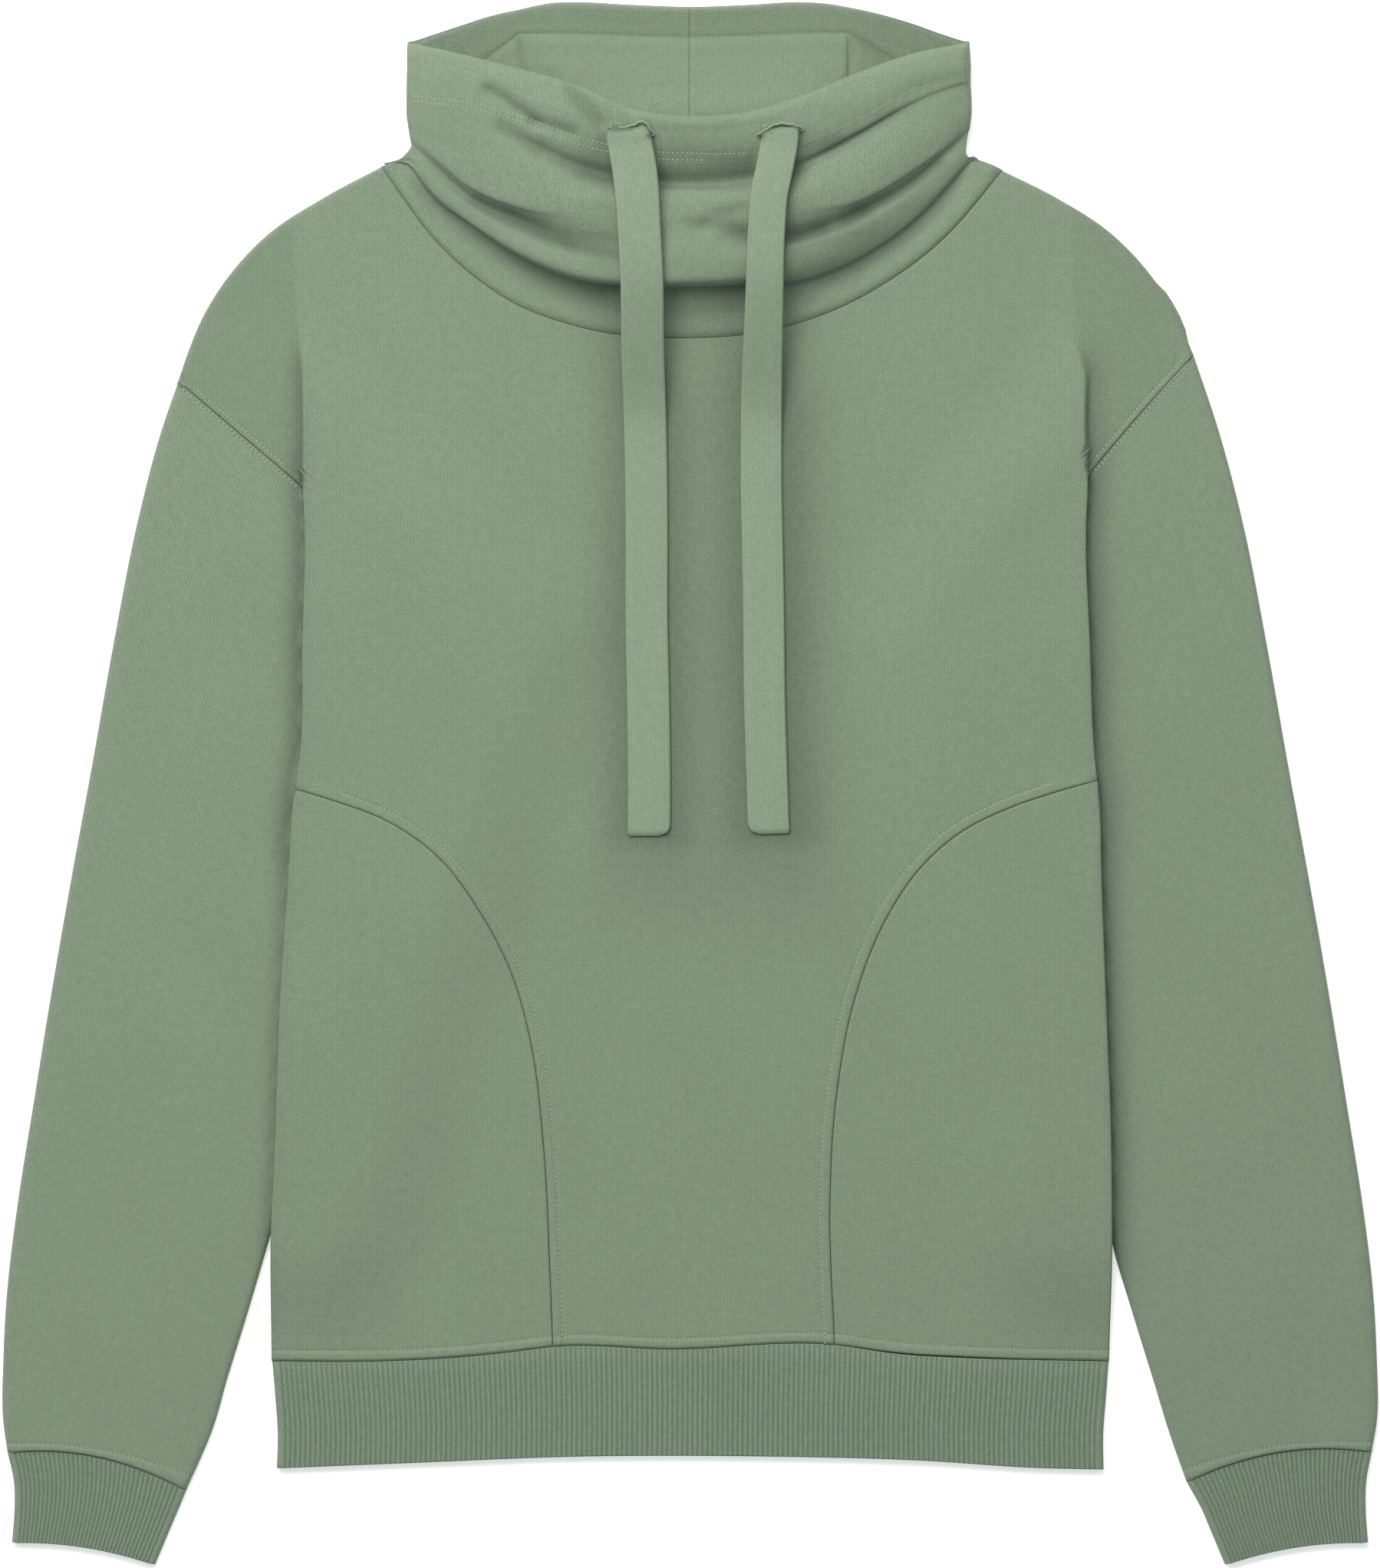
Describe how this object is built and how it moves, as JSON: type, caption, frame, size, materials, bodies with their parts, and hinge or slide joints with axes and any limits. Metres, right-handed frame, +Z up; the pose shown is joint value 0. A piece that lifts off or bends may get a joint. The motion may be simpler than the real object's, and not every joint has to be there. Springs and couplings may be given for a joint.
{
  "type": "funnel neck sweatshirt",
  "caption": "Sweatshirt laid flat, with a wide funnel neck slumped in rolls, flat drawcords, curved front seams, and ribbed hem and cuffs.",
  "frame": {"origin": "on the surface that the garment lies on, at the middle of its outline", "axes": "+Y from the hem towards the neck, +X to the right as seen from above, +Z up from the surface"},
  "size_m": [0.7168, 0.8142, 0.0375],
  "materials": {
    "fleece": "brushed sage green sweatshirt fleece, matt with a soft nap",
    "rib": "sage green 1 by 1 cotton rib, matt",
    "cord": "flat self-fabric drawcord, edge stitched, matt"
  },
  "bodies": {
    "root": {"front_center": "fleece", "front_side_left": "fleece", "front_side_right": "fleece", "back": "fleece", "sleeve_left": "fleece", "sleeve_right": "fleece", "collar": "fleece", "cuff_left": "rib", "cuff_right": "rib", "hem_rib": "rib", "drawcord_left": "cord", "drawcord_right": "cord"}
  },
  "joints": []
}
